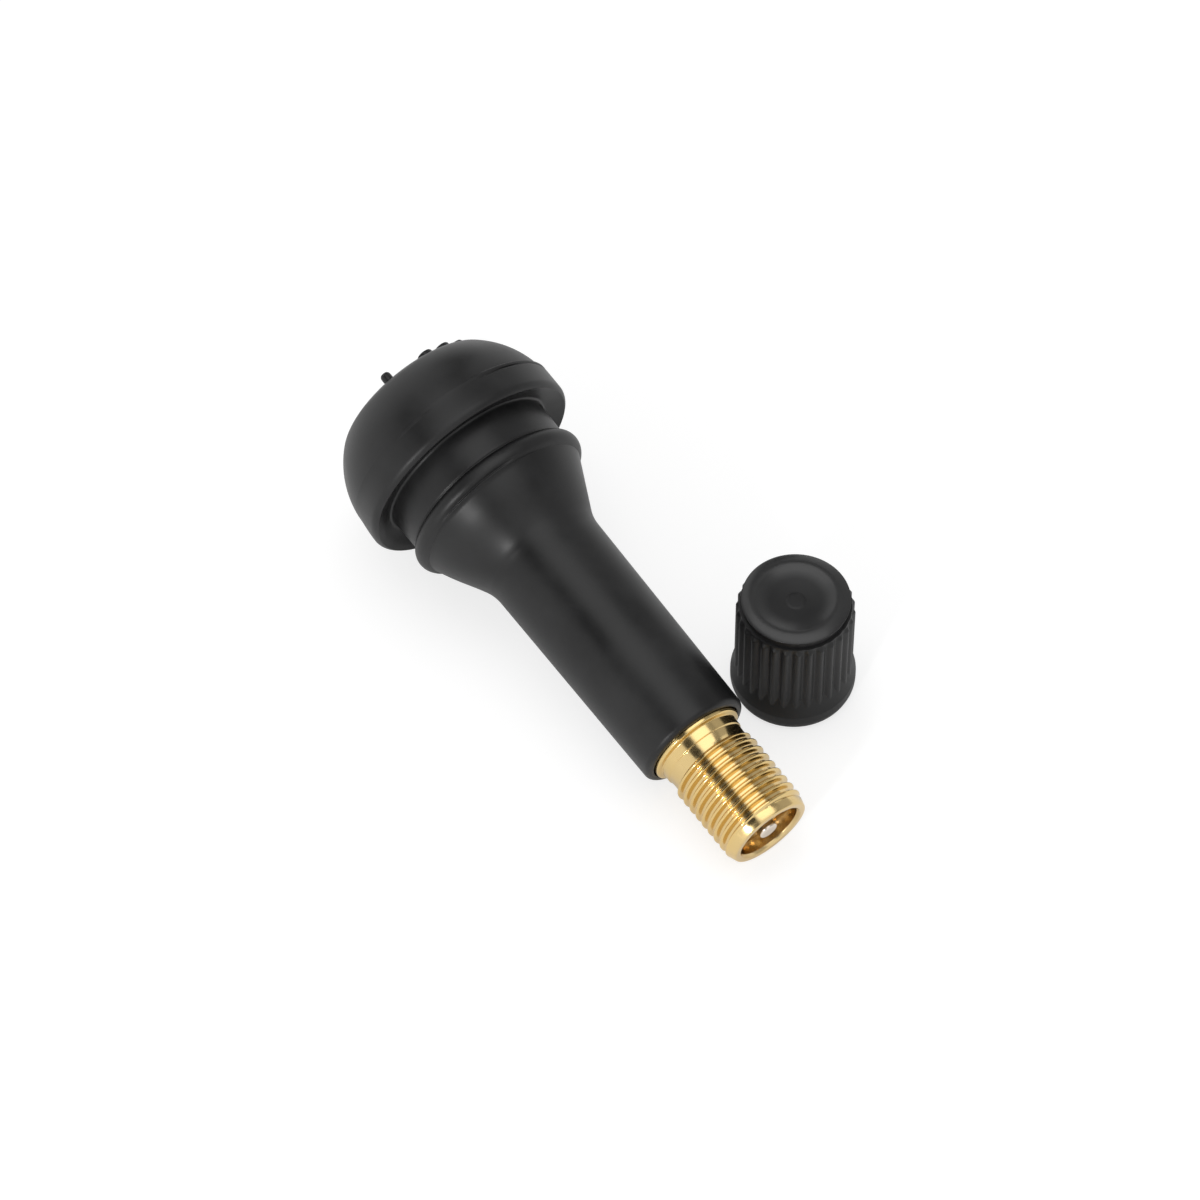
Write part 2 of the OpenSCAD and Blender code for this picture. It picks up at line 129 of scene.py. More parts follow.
def cut_back(way, softness):
    """A step along each way, as long as the softness but under half of the way."""
    length = np.maximum(np.linalg.norm(way, axis=1, keepdims=True), 1e-9)
    return way / length * np.minimum(softness, 0.45 * length)


def without_doubles(points):
    """The same points without those that repeat the one before."""
    step = np.linalg.norm(np.diff(points, axis=0), axis=1)
    return points[np.concatenate([[True], step > 1e-6])]


# %% Easing and single bumps
def smooth(share):
    """Eases from 0 to 1 with level ends: 3 x squared less 2 x cubed, held outside that range."""
    share = np.clip(share, 0, 1)
    return share * share * (3 - 2 * share)


def hump(place, middle, width):
    """A single smooth bump of height 1: the bell curve of the distance to the middle over the width."""
    return np.exp(-((place - middle) / width) ** 2)


def sector(turn, middle, full, none):
    """1 within some degrees of the middle turn, eased to 0 at some more degrees away from it."""
    away = np.cos(turn - math.radians(middle))
    edge = math.cos(math.radians(none))
    return smooth((away - edge) / (math.cos(math.radians(full)) - edge))


# %% [markdown]
# ## From points to a piece
# A grid of points has one row for each point of the outline and one column for each step around the
# axis, and neighbouring points make a four-sided face. A hollow piece has an outline that closes on
# itself, so its last row joins the first, and a solid piece has each end shut by a fan of triangles.
# A piece can hold several such shells, such as the pips on the bulb. The helper also says which body
# carries the piece, which finish it takes and which plain solid it stands for.

# %% Shells
def around(sides):
    """Angles of one turn, in equal steps, as a row."""
    return np.linspace(0, TURN, sides, endpoint=False)[None, :]


def shell(grid, loop=False):
    """Points, four-sided faces and triangles of a grid of rings; loop joins the last ring to the first."""
    rings, sides = grid.shape[:2]
    ids = np.arange(rings * sides).reshape(rings, sides)
    low, high = (ids, np.roll(ids, -1, axis=0)) if loop else (ids[:-1], ids[1:])
    quads = np.stack([low, np.roll(low, -1, 1), np.roll(high, -1, 1), high], axis=-1).reshape(-1, 4)
    points = grid.reshape(-1, 3)
    if loop:
        return points, quads, np.empty((0, 3), int)
    foot, head = (np.full(sides, rings * sides + end) for end in (0, 1))
    first, last = ids[0], ids[-1]
    fans = [np.stack([foot, np.roll(first, -1), first], 1), np.stack([head, last, np.roll(last, -1)], 1)]
    return np.concatenate([points, grid[[0, -1]].mean(axis=1)]), quads, np.concatenate(fans)


# %% Pieces
def make_mesh(name, shells):
    """One mesh of all the shells: the faces of each are counted on from the points before it."""
    counts = np.cumsum([0] + [len(points) for points, _, _ in shells])
    points = np.concatenate([part for part, _, _ in shells])
    quads = np.concatenate([part + first for (_, part, _), first in zip(shells, counts)])
    fans = np.concatenate([part + first for (_, _, part), first in zip(shells, counts)])
    mesh = bpy.data.meshes.new(name)
    mesh.from_pydata(points.tolist(), [], quads.tolist() + fans.tolist())
    mesh.polygons.foreach_set("use_smooth", np.ones(len(mesh.polygons), bool))
    print(name, "has", 2 * len(quads) + len(fans), "triangles")
    return mesh


def make_piece(name, shells, body, nodes, material, crisp=40):
    """A mesh of the shells, smooth apart from edges sharper than crisp, set on its body."""
    mesh = make_mesh(name, shells)
    mesh.set_sharp_from_angle(angle=math.radians(crisp))
    mesh.materials.append(material)
    piece = bpy.data.objects.new(name, mesh)
    bpy.context.scene.collection.objects.link(piece)
    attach(piece, body)
    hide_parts(*nodes)
    return piece


# %% [markdown]
# ## Finishes: patterns that several materials share
# Three effects return on more than one piece, so each is a node group with named sockets. A moulded
# skin is never quite even: it has a fine grain from the mould, and slow clouds of paler bloom. Turned
# metal carries rings from the tool, which change along the axis only. Shade gathers low in a thread
# and inside the bore, so a third group measures how far a point stands from the axis, and the metal's
# colour is darkened there as a painted shade. Patterns read the object's own coordinates, turned and
# scaled by a Mapping node so that X runs along the piece's axis in millimetres.

# %% Small helpers for node trees
def add_node(tree, kind, inputs=None, **settings):
    """Adds a node; settings name its properties, and inputs maps its sockets to values or to sockets."""
    made = tree.nodes.new(kind)
    for name, value in settings.items():
        setattr(made, name, value)
    for socket, value in (inputs or {}).items():
        if isinstance(value, bpy.types.NodeSocket):
            tree.links.new(value, made.inputs[socket])
        else:
            made.inputs[socket].default_value = value
    return made


def start_group(name, numbers, outputs):
    """A shader group that takes a vector and some named numbers, and gives some named values."""
    group = bpy.data.node_groups.new(name, "ShaderNodeTree")
    group.interface.new_socket("Vector", in_out="INPUT", socket_type="NodeSocketVector")
    for label, default in numbers.items():
        socket = group.interface.new_socket(label, in_out="INPUT", socket_type="NodeSocketFloat")
        socket.default_value = default
    for label in outputs:
        group.interface.new_socket(label, in_out="OUTPUT", socket_type="NodeSocketFloat")
    given = group.nodes.new("NodeGroupInput").outputs
    return group, given, group.nodes.new("NodeGroupOutput").inputs


def scaled(tree, value, low, high, start=0.3, end=0.7):
    """A value from start to end, stretched to run from low to high."""
    spread = add_node(tree, "ShaderNodeMapRange", {
        "Value": value, "From Min": start, "From Max": end, "To Min": low, "To Max": high})
    return spread.outputs["Result"]


def mixed(tree, share, first, second):
    """The first colour turned into the second by a share; a Mix node takes colours at inputs 6 and 7."""
    mix = add_node(tree, "ShaderNodeMix", {0: share, 6: (*first, 1), 7: (*second, 1)}, data_type="RGBA")
    return mix.outputs[2]


# %% Mould grain: fine bumps and slow clouds
def make_mould_grain():
    """Two noises of one vector: a fine one for the height and a slow one for the clouds."""
    group, given, out = start_group("mould grain", {"Grain": 8, "Clouds": 0.2}, ["Height", "Cloud"])
    fine = add_node(group, "ShaderNodeTexNoise", {
        "Vector": given["Vector"], "Scale": given["Grain"], "Detail": 4, "Roughness": 0.6})
    slow = add_node(group, "ShaderNodeTexNoise", {
        "Vector": given["Vector"], "Scale": given["Clouds"], "Detail": 5, "Roughness": 0.55})
    group.links.new(fine.outputs["Fac"], out["Height"])
    group.links.new(slow.outputs["Fac"], out["Cloud"])
    return group


mould_grain = make_mould_grain()
print("group:", mould_grain.name)


# %% Turning lines: rings left by the tool
def make_turning_lines():
    """Two noises of the length along X alone, so that they run in rings around the axis."""
    group, given, out = start_group("turning lines", {"Lines": 12, "Bands": 1.5}, ["Height", "Shade"])
    parts = add_node(group, "ShaderNodeSeparateXYZ", {"Vector": given["Vector"]})
    along = parts.outputs["X"]
    fine = add_node(group, "ShaderNodeTexNoise", noise_dimensions="1D")
    broad = add_node(group, "ShaderNodeTexNoise", noise_dimensions="1D")
    for noise, scale, output in ((fine, "Lines", "Height"), (broad, "Bands", "Shade")):
        group.links.new(along, noise.inputs["W"])
        group.links.new(given[scale], noise.inputs["Scale"])
        group.links.new(noise.outputs["Fac"], out[output])
    return group


turning_lines = make_turning_lines()
print("group:", turning_lines.name)


# %% Thread shade: how deep a point lies below the crest, which the metals darken as a painted shade
def make_thread_shade():
    """0 at the crest radius and 1 at the root radius, from the distance to the X axis."""
    group, given, out = start_group("thread shade", {"Root": 3.4, "Crest": 3.85}, ["Depth"])
    across = add_node(group, "ShaderNodeVectorMath", {0: given["Vector"], 1: (0, 1, 1)}, operation="MULTIPLY")
    radius = add_node(group, "ShaderNodeVectorMath", {0: across.outputs["Vector"]}, operation="LENGTH")
    depth = add_node(group, "ShaderNodeMapRange", {
        "Value": radius.outputs["Value"], "From Min": given["Crest"], "From Max": given["Root"]})
    group.links.new(depth.outputs["Result"], out["Depth"])
    return group


thread_shade = make_thread_shade()
print("group:", thread_shade.name)


# %% [markdown]
# ## Finishes: the materials
# The rubber, the seals and the cap are all moulded, and the brass and steel pieces are all turned or
# drawn, so two functions make every material from a few values. A moulded skin mixes a dark and a pale
# tone by the clouds, and its grain is a very shallow bump. A metal mixes its bright colour with a darker
# one low in the thread and inside the bore, a painted shade, and its tool rings change both roughness
# and bump.

# %% Coordinates of a piece, and a blank material
def own_coordinates(tree, origin, lean):
    """Object coordinates from an origin, leant back so that X runs along the axis, in millimetres."""
    level = Matrix.Rotation(-lean, 3, "Y")
    start = np.array(level) @ origin / -MM
    place = tree.nodes.new("ShaderNodeTexCoord")
    turned = add_node(tree, "ShaderNodeMapping", {
        "Vector": place.outputs["Object"], "Location": start.tolist(),
        "Rotation": (0, -lean, 0), "Scale": (1 / MM,) * 3})
    return turned.outputs["Vector"]


def start_material(name, origin=None, lean=tilt):
    """A material with its shader, and the coordinates of the piece that it is for."""
    material = bpy.data.materials.new(name)
    material.use_nodes = True
    shader = material.node_tree.nodes["Principled BSDF"]
    place = own_coordinates(material.node_tree, flat_middle if origin is None else origin, lean)
    return material, material.node_tree, shader, place


# %% Moulded rubber and plastic
def make_moulded(name, dark, pale, rough, shine, grain, height, **where):
    """Dark and pale tones mixed by slow clouds, a range of roughness, and a fine grain of some height."""
    material, tree, shader, place = start_material(name, **where)
    skin = add_node(tree, "ShaderNodeGroup", node_tree=mould_grain)
    tree.links.new(place, skin.inputs["Vector"])
    skin.inputs["Grain"].default_value = grain
    cloud = skin.outputs["Cloud"]
    tree.links.new(mixed(tree, scaled(tree, cloud, 0, 1), dark, pale), shader.inputs["Base Color"])
    tree.links.new(scaled(tree, cloud, *rough), shader.inputs["Roughness"])
    bump = add_node(tree, "ShaderNodeBump", {"Height": skin.outputs["Height"], "Distance": height * MM})
    tree.links.new(bump.outputs["Normal"], shader.inputs["Normal"])
    shader.inputs["Specular IOR Level"].default_value = shine
    print("material:", name)
    return material


black_rubber = make_moulded(
    "black_rubber", dark=(0.003, 0.003, 0.0032), pale=(0.013, 0.013, 0.0134), rough=(0.36, 0.47),
    shine=0.38, grain=7, height=0.003)
black_plastic = make_moulded(
    "black_plastic", dark=(0.003, 0.003, 0.0032), pale=(0.008, 0.008, 0.0084), rough=(0.42, 0.5),
    shine=0.36, grain=10, height=0.002, origin=cap_foot, lean=0)
red_seal = make_moulded(
    "red_seal", dark=(0.36, 0.03, 0.025), pale=(0.46, 0.045, 0.035), rough=(0.4, 0.5),
    shine=0.4, grain=9, height=0.004)
black_seal = make_moulded(
    "black_seal", dark=(0.014, 0.014, 0.014), pale=(0.02, 0.02, 0.02), rough=(0.5, 0.6),
    shine=0.3, grain=9, height=0.004)

# %% [markdown]
# The top of the cap catches the light more than its wall does, because the mould is polished there. A
# second material would need a seam between the two, so a mask of the height lays a clear coat over the
# top of the same plastic instead.

# %% A glossier top for the cap
GLOSS_FROM, GLOSS_FULL, GLOSS, GLOSS_ROUGH = 11.1, 11.3, 0.6, 0.22


def polish_top(material):
    """A clear gloss above some height over the floor, where the mould of the cap is polished."""
    tree = material.node_tree
    shader = tree.nodes["Principled BSDF"]
    parts = add_node(tree, "ShaderNodeSeparateXYZ", {"Vector": own_coordinates(tree, cap_foot, 0)})
    gloss = scaled(tree, parts.outputs["Z"], 0, GLOSS, GLOSS_FROM, GLOSS_FULL)
    tree.links.new(gloss, shader.inputs["Coat Weight"])
    shader.inputs["Coat Roughness"].default_value = GLOSS_ROUGH
    print("gloss above", GLOSS_FROM, "mm on", material.name)


polish_top(black_plastic)


# %% Turned brass and drawn steel
def make_turned(name, bright, painted_shade, rough, root, crest, lines, height):
    """Bright metal darkened towards the root radius as a painted shade, with tool rings in its roughness and bump.
    """
    material, tree, shader, place = start_material(name)
    rings = add_node(tree, "ShaderNodeGroup", node_tree=turning_lines)
    low = add_node(tree, "ShaderNodeGroup", node_tree=thread_shade)
    tree.links.new(place, rings.inputs["Vector"])
    tree.links.new(place, low.inputs["Vector"])
    rings.inputs["Lines"].default_value = lines
    low.inputs["Root"].default_value = root
    low.inputs["Crest"].default_value = crest
    # Painted shade: the colour runs from the bright tone at the crest radius to the darker one at the root radius
    # and inside the bore.
    tree.links.new(mixed(tree, low.outputs["Depth"], bright, painted_shade), shader.inputs["Base Color"])
    tree.links.new(scaled(tree, rings.outputs["Shade"], *rough), shader.inputs["Roughness"])
    bump = add_node(tree, "ShaderNodeBump", {"Height": rings.outputs["Height"], "Distance": height * MM})
    tree.links.new(bump.outputs["Normal"], shader.inputs["Normal"])
    shader.inputs["Metallic"].default_value = 1
    print("material:", name)
    return material


# Each metal's darker colour is a painted shade towards the axis, low in a thread and inside the bore. The core's
# brass is darker overall than the stem's, a painted shade for the inside of the mouth.
turned_brass = make_turned(
    "turned_brass", bright=(0.77, 0.565, 0.245), painted_shade=(0.72, 0.54, 0.27), rough=(0.14, 0.22),
    root=3.2, crest=3.8, lines=9, height=0.0012)
core_brass = make_turned(
    "core_brass", bright=(0.64, 0.47, 0.26), painted_shade=(0.55, 0.4, 0.24), rough=(0.2, 0.3),
    root=2.2, crest=2.6, lines=9, height=0.0012)
bright_steel = make_turned(
    "bright_steel", bright=(0.8, 0.72, 0.63), painted_shade=(0.72, 0.65, 0.57), rough=(0.16, 0.24),
    root=0.3, crest=0.8, lines=10, height=0.0008)
spring_steel = make_turned(
    "spring_steel", bright=(0.5, 0.5, 0.51), painted_shade=(0.4, 0.4, 0.41), rough=(0.25, 0.35),
    root=0.7, crest=1, lines=14, height=0.0008)

# %% [markdown]
# ## The rubber body
# The body is moulded in one go around the brass: a domed bulb that sits inside the wheel, a groove that
# grips the rim hole, a thin shoulder bead, a taper and a long neck. It could be sculpted from a lathe
# curve, but the drawing is all arcs and straight runs, so the outline is written as those. The lip is
# undercut, so that its edge presses on the wheel first. Each mould leaves its own marks, and they go in
# as geometry: a crease beside the shoulder bead, a step around the bulb that shows on one side, a short
# scar in front, a lip that bends where it bears on the table, and a taper that is not quite straight.

# %% Outline of the bulb, up to its lip
BAND_R, BAND_START, BELLY, BULB_LEN = 9.89, 5.2, 6.2, 8.13
DOME_R, DOME_ROUND, BASE_ROUND, LIP_ROUND, LIP_TURN = 9.75, 8, 2.2, 0.7, 60
STEP_RISE, STEP_SOFT, STEP_END, FINE_FROM, FINE_TO = 0.12, 0.1, 0.2, 0.22, 0.7
AIR_R = 2

dome_mid = np.array([DOME_R - DOME_ROUND, BELLY])
rounding_gap = DOME_ROUND - BASE_ROUND
base_mid = np.array([dome_mid[0] + math.sqrt(rounding_gap ** 2 - (BELLY - BASE_ROUND) ** 2), BASE_ROUND])
join_angle = math.degrees(math.atan2(BASE_ROUND - BELLY, base_mid[0] - dome_mid[0]))
band_angle = math.degrees(math.asin((BAND_START - BELLY) / DOME_ROUND))
dome_end = dome_mid[0] + DOME_ROUND * math.cos(math.radians(band_angle))
lip_mid = np.array([BAND_R - LIP_ROUND, BULB_LEN - LIP_ROUND * math.sin(math.radians(LIP_TURN))])
lip_edge = arc(lip_mid, LIP_ROUND, LIP_TURN, LIP_TURN, 1)[0]

bulb_outline = np.concatenate([
    run((AIR_R, 0), (base_mid[0], 0), 8),
    arc(base_mid, BASE_ROUND, -90, join_angle, 12),
    arc(dome_mid, DOME_ROUND, join_angle, band_angle, 40),
    softened([
        (dome_end, BAND_START, 0), (BAND_R, BAND_START + STEP_RISE, STEP_SOFT),
        (BAND_R, BAND_START + STEP_END, 0)], 8),
    run((BAND_R, BAND_START + FINE_FROM), (BAND_R, BAND_START + FINE_TO), 20),
    run((BAND_R, BAND_START + FINE_TO), (BAND_R, lip_mid[1]), 10),
    arc(lip_mid, LIP_ROUND, 0, LIP_TURN, 14),
])
print("the bulb's outline has", len(bulb_outline), "points")

# %% Sizes from the groove to the open end of the neck
GROOVE_R, GROOVE_END_R, GROOVE_W = 7.7, 7.65, 2.77
CORNER_AT, CORNER_ROUND, CORNER_REACH, BEAD_FOOT = 7.5, 0.4, 1, 0.5
BEAD_R, BEAD_ROUND, TAPER_R, TAPER_ANGLE = 8.25, 0.95, 7.65, 25.5
NECK_FILLET, NECK_R, NECK_END_R, END_ROUND, RUBBER_END = 4, 5.12, 4.88, 0.5, 38.6

bead_mid = np.array([BEAD_R - BEAD_ROUND, BULB_LEN + GROOVE_W + BEAD_ROUND])
bead_first = -math.degrees(math.acos((GROOVE_END_R - bead_mid[0]) / BEAD_ROUND))
bead_last = math.degrees(math.acos((TAPER_R - bead_mid[0]) / BEAD_ROUND))
bead_start, taper_start = (arc(bead_mid, BEAD_ROUND, angle, angle, 1)[0] for angle in (bead_first, bead_last))
slope = math.radians(TAPER_ANGLE)
fillet_lift = NECK_FILLET / math.cos(slope) - NECK_FILLET
neck_start = taper_start[1] + (TAPER_R - NECK_R + fillet_lift) / math.tan(slope)
fillet_mid = np.array([NECK_R + NECK_FILLET, neck_start])
taper_end = fillet_mid - NECK_FILLET * np.array([math.cos(slope), math.sin(slope)])
end_mid = np.array([NECK_END_R - END_ROUND, RUBBER_END - END_ROUND])
print("the neck starts at", round(neck_start, 2), "mm")

# %% Outline from the lip, through the groove and over the bead, to the end of the neck
undercut_r = GROOVE_R + CORNER_REACH
undercut = (undercut_r, np.interp(undercut_r, [GROOVE_R, lip_edge[0]], [CORNER_AT, BULB_LEN]))
floor_start = (GROOVE_R, CORNER_AT + CORNER_REACH)
floor_end = (GROOVE_END_R, bead_start[1] - BEAD_FOOT)
neck_outline = np.concatenate([
    run(lip_edge, undercut, 5),
    softened([(*undercut, 0), (GROOVE_R, CORNER_AT, CORNER_ROUND), (*floor_start, 0)], 12),
    run(floor_start, floor_end, 6),
    run(floor_end, bead_start, 18),
    arc(bead_mid, BEAD_ROUND, bead_first, bead_last, 70),
    run(taper_start, taper_end, 40),
    arc(fillet_mid, NECK_FILLET, 180 + TAPER_ANGLE, 180, 16),
    run((NECK_R, neck_start), (NECK_END_R, end_mid[1]), 12),
    arc(end_mid, END_ROUND, 0, 90, 10),
])
print("the neck's outline has", len(neck_outline), "points")

# %% The pocket that holds the brass, and the whole outline
BOND_GAP, MOUTH_GAP, MOUTH_GAP_DEPTH = 0.02, 0.13, 0.3
FOOT_R, FOOT_START, FOOT_LEN, TUBE_R, COLLAR_R, COLLAR_LEN = 4.2, 6, 1.2, 3.2, 4.1, 2
collar_start = RUBBER_END - COLLAR_LEN

pocket_outline = np.array([
    (end_mid[0], RUBBER_END),
    (COLLAR_R + MOUTH_GAP, RUBBER_END),
    (COLLAR_R + BOND_GAP, RUBBER_END - MOUTH_GAP_DEPTH),
    (COLLAR_R + BOND_GAP, collar_start - BOND_GAP),
    (TUBE_R + BOND_GAP, collar_start - BOND_GAP),
    (TUBE_R + BOND_GAP, FOOT_START + FOOT_LEN + BOND_GAP),
    (FOOT_R + BOND_GAP, FOOT_START + FOOT_LEN + BOND_GAP),
    (FOOT_R + BOND_GAP, FOOT_START - BOND_GAP),
    (AIR_R, FOOT_START - BOND_GAP),
])
rubber_outline = without_doubles(np.concatenate([bulb_outline, neck_outline, pocket_outline]))
print("the rubber's outline has", len(rubber_outline), "points")

# %% Mould marks around the bulb, on the bead and along the taper
RUBBER_SIDES, NEAR, MARKS_AFTER = 220, 0.01, 1
STEP_SECTOR, STEP_LEFT = (25, 25, 65), 0.08
CUT_DEEP, CUT_AT, CUT_W, CUT_WAVES = 0.2, 0.4, 0.09, 7
SCAR_SECTOR, SCAR = (121, 6, 13), 0.18
LEAN_SECTOR, LEAN, LEAN_REACH, LEAN_RUN, LEAN_LEN = (215, 15, 50), 0.25, 1, 0.9, 1.3
NOTCH_SECTOR, NOTCH_DEEP, NOTCH_W, NOTCH_LEFT = (130, 35, 75), 0.09, 0.12, 0.1
CREASE_SECTOR, CREASE_DEEP, CREASE_AT, CREASE_W = (117, 18, 34), 0.17, 12.5, 0.09
RIDGE_HIGH, RIDGE_AWAY = 0.06, 0.22
RIPPLE_SECTOR, RIPPLE, RIPPLE_START, RIPPLE_LEN = (130, 30, 120), 0.09, 13, 5


def step_mark(radius, along, turn):
    """How far the band sinks to hide its step away from one side, with a fine cut there and a short scar."""
    shown = sector(turn, *STEP_SECTOR)
    on_band = (radius > dome_end - NEAR) & (along >= BAND_START - NEAR) & (along < lip_mid[1])
    fade = 1 - smooth((along - BAND_START) / (lip_mid[1] - BAND_START))
    hidden = (1 - STEP_LEFT) * (1 - shown) * (BAND_R - dome_end)
    raised = np.clip((radius - dome_end) / (BAND_R - dome_end), 0, 1)
    cut = CUT_DEEP * (0.75 + 0.25 * np.sin(CUT_WAVES * turn)) * hump(along, BAND_START + CUT_AT, CUT_W)
    scar = SCAR * sector(turn, *SCAR_SECTOR)
    return on_band * (fade * raised * hidden + (shown + scar) * cut)


def lip_lean(radius, along, turn):
    """How far the lip is bent along the axis on the side that it leans on."""
    outwards = smooth((radius - lip_mid[0] + LEAN_REACH) / LEAN_RUN)
    on_lip = outwards * smooth((along - BELLY) / LEAN_LEN) * (along < bead_start[1])
    return LEAN * on_lip * sector(turn, *LEAN_SECTOR)


def taper_marks(radius, along, turn):
    """A notch, and a crease with a ridge, beside the bead, less a slow wave on the taper; outside only."""
    outside = (radius > NECK_END_R) & (along > BULB_LEN + MARKS_AFTER)
    notch = NOTCH_DEEP * hump(along, bead_start[1], NOTCH_W)
    notch = notch * (NOTCH_LEFT + (1 - NOTCH_LEFT) * sector(turn, *NOTCH_SECTOR))
    ridge = RIDGE_HIGH * hump(along, CREASE_AT + RIDGE_AWAY, CREASE_W)
    crease = CREASE_DEEP * hump(along, CREASE_AT, CREASE_W) - ridge
    share = (along - RIPPLE_START) / RIPPLE_LEN
    wave = RIPPLE * np.sin(TURN * share) * (np.abs(share - 0.5) < 0.5) * sector(turn, *RIPPLE_SECTOR)
    return outside * (notch + crease * sector(turn, *CREASE_SECTOR) - wave)


def rubber_grid():
    """The outline around the axis, with the marks of the mould taken off its radius."""
    turn = around(RUBBER_SIDES)
    radius, along = rubber_outline[:, :1], rubber_outline[:, 1:]
    marks = step_mark(radius, along, turn) + taper_marks(radius, along, turn)
    return on_valve(radius - marks, along + lip_lean(radius, along, turn), turn)


# %% [markdown]
# The flat of the bulb carries three small pips, where the rubber was fed into the mould, and between two
# of them a short row of low round marks. Pips could be spheres, but a short peg with a domed end is what
# the mould's vents leave, and it is one more outline around its own middle.

# %% Pips, marks and the finished rubber piece
PIP_RING_R = 5.9
PIPS = ((-2, 0.4, 0.7), (118, 0.46, 0.85), (238, 0.4, 0.7))
MARK_TURNS, MARK_R, MARK_H = (46, 64, 82), 0.7, 0.32
PEG_STEPS = np.array([(-1, 0.45), (-0.96, 0.76), (-0.82, 0.94), (-0.55, 1), (0, 1), (0.7, 1)])
PEG_SIDES = 24


def peg_shell(middle, width, height):
    """A round peg with a domed end, at a turn in degrees: steps are shares of its height and its width."""
    level, reach = PEG_STEPS[:, :1] * height, PEG_STEPS[:, 1:] * width
    turn = around(PEG_SIDES)
    sideways = PIP_RING_R * math.cos(math.radians(middle)) + reach * np.cos(turn)
    upwards = PIP_RING_R * math.sin(math.radians(middle)) + reach * np.sin(turn)
    return shell(on_valve(np.hypot(sideways, upwards), level, np.arctan2(upwards, sideways)))


pips = [peg_shell(*pip) for pip in PIPS]
marks = [peg_shell(middle, MARK_R, MARK_H) for middle in MARK_TURNS]
make_piece(
    "rubber_skin", [shell(rubber_grid(), loop=True)] + pips + marks,
    "valve", ["rubber_body"], black_rubber)

# %% [markdown]
# ## Threads
# A screw thread is a groove whose place along the axis moves by one pitch for each turn. So the thread
# is a wave of one number: the length divided by the pitch, less the share of a turn. Cutting the wave's
# tips and roots flat gives the shape that a die leaves, and fading it at both ends gives the run-out. A
# Screw modifier could do this too, but the wave lets the thread grow out of the plain brass.

# %% The thread's wave
CREST_FLAT, FLANK = 0.1, 0.68


def thread_wave(along, turn, pitch, start, end, fade):
    """Share of the full depth: 0 on the crest, 1 in the root, faded to 0 within fade of both ends."""
    share = (along / pitch - turn / TURN) % 1
    wave = smooth((np.abs(2 * share - 1) - CREST_FLAT) / FLANK)
    return wave * smooth((along - start) / fade) * smooth((end - along) / fade)


# %% [markdown]
# ## The brass stem
# The stem is a tube turned from bar: a foot that anchors it in the bulb, a collar whose rim shows at
# the rubber's end, a plain neck, the outer thread with its bevelled tip, and a mouth with the finer
# thread of the valve core inside. It could be several tubes and rings, but one closed outline, dense
# where the threads are cut, leaves no seams between them.

# %% Outline of the stem
BRASS_SIDES = 192
OUTER_PITCH, CORE_PITCH = 0.794, 0.7056
THREAD_R, THREAD_START, THREAD_LEAD, THREAD_END, THREAD_DEPTH = 3.85, 40.8, 0.3, 47.6, 0.42
RUN_IN, RUN_OUT, OUTER_FADE, INNER_FADE = 0.1, 0.35, 0.55, 0.4
TIP_R, RELIEF_R, RELIEF_STEP, BRASS_BAND_R, BRASS_BAND_LEN = 3.5, 3.55, 0.08, 3.66, 1.2
COLLAR_RIM, COLLAR_STEP = 0.3, 0.1
MOUTH_R, MOUTH_BEVEL, COUNTERBORE_R, COUNTERBORE_DEPTH = 3, 0.25, 2.8, 1.6
CORE_THREAD_R, SEAT_DEPTH, SEAT_R, SEAT_LEN, PASSAGE_R = 2.65, 8.08, 2.32, 2, 1.95
CORE_THREAD_DEPTH = 0.3

core_thread_start = VALVE_LEN - SEAT_DEPTH
core_thread_end = VALVE_LEN - COUNTERBORE_DEPTH
collar_end = RUBBER_END + COLLAR_RIM
brass_band_end = RUBBER_END + BRASS_BAND_LEN
crest_start = (THREAD_R, THREAD_START + THREAD_LEAD)
stem_foot = softened([
    (PASSAGE_R, FOOT_START, 0), (FOOT_R, FOOT_START, 0.1), (FOOT_R, FOOT_START + FOOT_LEN, 0.1),
    (TUBE_R, FOOT_START + FOOT_LEN, 0.1), (TUBE_R, collar_start, 0.1), (COLLAR_R, collar_start, 0.1),
    (COLLAR_R, collar_end, 0.14), (BRASS_BAND_R, collar_end + COLLAR_STEP, 0.08),
    (BRASS_BAND_R, brass_band_end, 0.03), (RELIEF_R, brass_band_end + RELIEF_STEP, 0.03),
    (RELIEF_R, THREAD_START, 0)])
stem_thread = np.concatenate([
    run((RELIEF_R, THREAD_START), crest_start, 8), run(crest_start, (THREAD_R, THREAD_END), 180)])
stem_mouth = softened([
    (THREAD_R, THREAD_END, 0.2), (TIP_R, VALVE_LEN, 0.12), (MOUTH_R, VALVE_LEN, 0.06),
    (COUNTERBORE_R, VALVE_LEN - MOUTH_BEVEL, 0.05), (COUNTERBORE_R, core_thread_end, 0.05),
    (CORE_THREAD_R, core_thread_end, 0)])
core_thread = run((CORE_THREAD_R, core_thread_end), (CORE_THREAD_R, core_thread_start), 110)
stem_seat = np.array([
    (CORE_THREAD_R, core_thread_start), (SEAT_R, core_thread_start),
    (PASSAGE_R, core_thread_start - SEAT_LEN)])
stem_outline = without_doubles(np.concatenate([stem_foot, stem_thread, stem_mouth, core_thread, stem_seat]))
print("the stem's outline has", len(stem_outline), "points")


